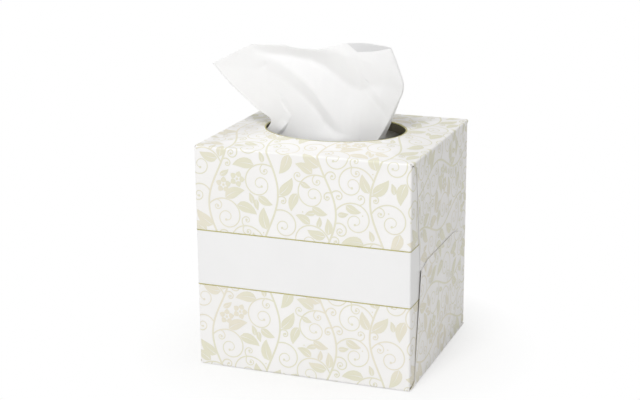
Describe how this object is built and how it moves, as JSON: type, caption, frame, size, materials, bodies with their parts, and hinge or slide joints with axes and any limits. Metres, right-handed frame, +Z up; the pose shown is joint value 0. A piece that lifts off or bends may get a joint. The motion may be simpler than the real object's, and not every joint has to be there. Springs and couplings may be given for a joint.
{
  "type": "tissue box",
  "caption": "Upright folded-board tissue box with an oval opening in its crowned top, an arched pack of sheets inside and a sheet standing up through the opening.",
  "frame": {"origin": "middle of the bottom face, on the surface that the box stands on", "axes": "+Z up, +X towards the right end, -Y towards the front face"},
  "size_m": [0.1309, 0.107, 0.1731],
  "materials": {
    "board": "coated folding board, white with a pale olive scroll print, satin gloss; grey-brown uncoated board inside",
    "glue": "hardened glue, hidden between layers of board",
    "tissue": "soft white two-ply facial tissue, matt, slightly translucent"
  },
  "bodies": {
    "root": {"carton": "board", "seam_glue": "glue", "right_end_glue": "glue", "left_end_glue": "glue", "tissue_clip": "tissue", "popup_tissue": "tissue"}
  },
  "joints": []
}
